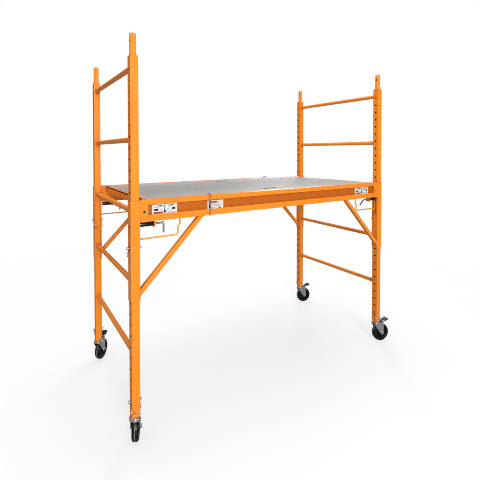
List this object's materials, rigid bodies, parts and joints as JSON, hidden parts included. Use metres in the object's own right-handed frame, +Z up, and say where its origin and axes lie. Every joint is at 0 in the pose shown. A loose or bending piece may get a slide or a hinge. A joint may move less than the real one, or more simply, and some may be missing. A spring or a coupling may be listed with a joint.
{
  "type": "baker scaffold",
  "caption": "Rolling baker scaffold: ladder end frames on locking casters, and a grey deck in channel rails that slides up and down the drilled posts on pinned corner sleeves.",
  "frame": {"origin": "centre of the top face of the deck", "axes": "+X along the length towards the right end frame, +Y towards the rear rail, +Z up; the wheels stand on z = -1.136 m"},
  "size_m": [1.9193, 0.8556, 1.8975],
  "materials": {
    "orange_paint": "gloss powder coat over square and round steel tube",
    "zinc_steel": "bright zinc plate",
    "deck_grey": "grey coated plywood, satin",
    "black_plastic": "moulded, slightly textured",
    "black_rubber": "satin black"
  },
  "bodies": {
    "end_frames": {"left_posts": "orange_paint", "left_rungs": "orange_paint", "right_posts": "orange_paint", "right_rungs": "orange_paint", "stacking_spigots": "orange_paint", "caster_stems": "zinc_steel", "swivel_races": "zinc_steel", "stem_pins": "zinc_steel"},
    "platform": {"front_rail": "orange_paint", "rear_rail": "orange_paint", "left_sleeves": "orange_paint", "right_sleeves": "orange_paint", "rail_end_plates": "orange_paint", "end_channels": "orange_paint", "crossbars": "orange_paint", "corner_braces": "orange_paint", "guard_rods": "orange_paint", "pin_housings": "black_plastic", "housing_plates": "orange_paint", "platform_pins": "zinc_steel", "deck_panel": "deck_grey", "deck_edging": "zinc_steel", "deck_screws": "zinc_steel", "latch_guides": "orange_paint"},
    "deck_latch_front": {"deck_latch_front": "zinc_steel"},
    "deck_latch_rear": {"deck_latch_rear": "zinc_steel"},
    "lock_pin_fl": {"lock_pin_fl": "zinc_steel"},
    "platform_bail_fl": {"platform_bail_fl": "zinc_steel"},
    "stem_bail_fl": {"stem_bail_fl": "zinc_steel"},
    "caster_fork_fl": {"caster_fork_fl": "zinc_steel", "caster_pins_fl": "zinc_steel"},
    "wheel_fl": {"wheel_core_fl": "black_plastic", "tyre_fl": "black_rubber"},
    "brake_pedal_fl": {"brake_pedal_fl": "black_plastic"},
    "lock_pin_rl": {"lock_pin_rl": "zinc_steel"},
    "platform_bail_rl": {"platform_bail_rl": "zinc_steel"},
    "stem_bail_rl": {"stem_bail_rl": "zinc_steel"},
    "caster_fork_rl": {"caster_fork_rl": "zinc_steel", "caster_pins_rl": "zinc_steel"},
    "wheel_rl": {"wheel_core_rl": "black_plastic", "tyre_rl": "black_rubber"},
    "brake_pedal_rl": {"brake_pedal_rl": "black_plastic"},
    "lock_pin_fr": {"lock_pin_fr": "zinc_steel"},
    "platform_bail_fr": {"platform_bail_fr": "zinc_steel"},
    "stem_bail_fr": {"stem_bail_fr": "zinc_steel"},
    "caster_fork_fr": {"caster_fork_fr": "zinc_steel", "caster_pins_fr": "zinc_steel"},
    "wheel_fr": {"wheel_core_fr": "black_plastic", "tyre_fr": "black_rubber"},
    "brake_pedal_fr": {"brake_pedal_fr": "black_plastic"},
    "lock_pin_rr": {"lock_pin_rr": "zinc_steel"},
    "platform_bail_rr": {"platform_bail_rr": "zinc_steel"},
    "stem_bail_rr": {"stem_bail_rr": "zinc_steel"},
    "caster_fork_rr": {"caster_fork_rr": "zinc_steel", "caster_pins_rr": "zinc_steel"},
    "wheel_rr": {"wheel_core_rr": "black_plastic", "tyre_rr": "black_rubber"},
    "brake_pedal_rr": {"brake_pedal_rr": "black_plastic"}
  },
  "joints": [
    {"name": "platform_lift", "type": "slide", "parent": "end_frames", "child": "platform", "axis": [0, 0, 1], "range_m": [-0.3048, 0.6096]},
    {"name": "deck_latch_front_turn", "type": "hinge", "parent": "platform", "child": "deck_latch_front", "pos_m": [-0.497, -0.3915, -0.048], "axis": [0, 0, 1], "range_deg": [-150, 0]},
    {"name": "deck_latch_rear_turn", "type": "hinge", "parent": "platform", "child": "deck_latch_rear", "pos_m": [0.497, 0.3915, -0.048], "axis": [0, 0, 1], "range_deg": [-150, 0]},
    {"name": "lock_pin_fl_pull", "type": "slide", "parent": "platform", "child": "lock_pin_fl", "axis": [1, 0, 0], "range_m": [0, 0.02], "stiffness_N_per_m": 600, "springref_m": -0.01},
    {"name": "platform_bail_fl_swing", "type": "hinge", "parent": "platform", "child": "platform_bail_fl", "pos_m": [-0.89535, -0.3683, -0.2168], "axis": [1, 0, 0], "range_deg": [0, 120]},
    {"name": "stem_bail_fl_swing", "type": "hinge", "parent": "end_frames", "child": "stem_bail_fl", "pos_m": [-0.89535, -0.3683, -0.928], "axis": [1, 0, 0], "range_deg": [-120, 0]},
    {"name": "caster_fl_swivel", "type": "hinge", "parent": "end_frames", "child": "caster_fork_fl", "pos_m": [-0.89535, -0.3683, -1.006], "axis": [0, 0, 1], "continuous": true},
    {"name": "wheel_fl_spin", "type": "hinge", "parent": "caster_fork_fl", "child": "wheel_fl", "pos_m": [-0.88111, -0.33633, -1.076], "axis": [0.9135, -0.4067, 0], "continuous": true},
    {"name": "brake_pedal_fl_press", "type": "hinge", "parent": "caster_fork_fl", "child": "brake_pedal_fl", "pos_m": [-0.87989, -0.33359, -1.005], "axis": [0.9135, -0.4067, 0], "range_deg": [-14, 0]},
    {"name": "lock_pin_rl_pull", "type": "slide", "parent": "platform", "child": "lock_pin_rl", "axis": [1, 0, 0], "range_m": [0, 0.02], "stiffness_N_per_m": 600, "springref_m": -0.01},
    {"name": "platform_bail_rl_swing", "type": "hinge", "parent": "platform", "child": "platform_bail_rl", "pos_m": [-0.89535, 0.3683, -0.2168], "axis": [1, 0, 0], "range_deg": [-120, 0]},
    {"name": "stem_bail_rl_swing", "type": "hinge", "parent": "end_frames", "child": "stem_bail_rl", "pos_m": [-0.89535, 0.3683, -0.928], "axis": [1, 0, 0], "range_deg": [0, 120]},
    {"name": "caster_rl_swivel", "type": "hinge", "parent": "end_frames", "child": "caster_fork_rl", "pos_m": [-0.89535, 0.3683, -1.006], "axis": [0, 0, 1], "continuous": true},
    {"name": "wheel_rl_spin", "type": "hinge", "parent": "caster_fork_rl", "child": "wheel_rl", "pos_m": [-0.87193, 0.39431, -1.076], "axis": [0.7431, -0.6691, 0], "continuous": true},
    {"name": "brake_pedal_rl_press", "type": "hinge", "parent": "caster_fork_rl", "child": "brake_pedal_rl", "pos_m": [-0.86992, 0.39654, -1.005], "axis": [0.7431, -0.6691, 0], "range_deg": [-14, 0]},
    {"name": "lock_pin_fr_pull", "type": "slide", "parent": "platform", "child": "lock_pin_fr", "axis": [-1, 0, 0], "range_m": [0, 0.02], "stiffness_N_per_m": 600, "springref_m": -0.01},
    {"name": "platform_bail_fr_swing", "type": "hinge", "parent": "platform", "child": "platform_bail_fr", "pos_m": [0.89535, -0.3683, -0.2168], "axis": [1, 0, 0], "range_deg": [0, 120]},
    {"name": "stem_bail_fr_swing", "type": "hinge", "parent": "end_frames", "child": "stem_bail_fr", "pos_m": [0.89535, -0.3683, -0.928], "axis": [1, 0, 0], "range_deg": [-120, 0]},
    {"name": "caster_fr_swivel", "type": "hinge", "parent": "end_frames", "child": "caster_fork_fr", "pos_m": [0.89535, -0.3683, -1.006], "axis": [0, 0, 1], "continuous": true},
    {"name": "wheel_fr_spin", "type": "hinge", "parent": "caster_fork_fr", "child": "wheel_fr", "pos_m": [0.92899, -0.37795, -1.076], "axis": [-0.2756, -0.9613, 0], "continuous": true},
    {"name": "brake_pedal_fr_press", "type": "hinge", "parent": "caster_fork_fr", "child": "brake_pedal_fr", "pos_m": [0.93188, -0.37877, -1.005], "axis": [-0.2756, -0.9613, 0], "range_deg": [-14, 0]},
    {"name": "lock_pin_rr_pull", "type": "slide", "parent": "platform", "child": "lock_pin_rr", "axis": [-1, 0, 0], "range_m": [0, 0.02], "stiffness_N_per_m": 600, "springref_m": -0.01},
    {"name": "platform_bail_rr_swing", "type": "hinge", "parent": "platform", "child": "platform_bail_rr", "pos_m": [0.89535, 0.3683, -0.2168], "axis": [1, 0, 0], "range_deg": [-120, 0]},
    {"name": "stem_bail_rr_swing", "type": "hinge", "parent": "end_frames", "child": "stem_bail_rr", "pos_m": [0.89535, 0.3683, -0.928], "axis": [1, 0, 0], "range_deg": [0, 120]},
    {"name": "caster_rr_swivel", "type": "hinge", "parent": "end_frames", "child": "caster_fork_rr", "pos_m": [0.89535, 0.3683, -1.006], "axis": [0, 0, 1], "continuous": true},
    {"name": "wheel_rr_spin", "type": "hinge", "parent": "caster_fork_rr", "child": "wheel_rr", "pos_m": [0.92931, 0.35983, -1.076], "axis": [-0.2419, -0.9703, 0], "continuous": true},
    {"name": "brake_pedal_rr_press", "type": "hinge", "parent": "caster_fork_rr", "child": "brake_pedal_rr", "pos_m": [0.93222, 0.35911, -1.005], "axis": [-0.2419, -0.9703, 0], "range_deg": [-14, 0]}
  ]
}
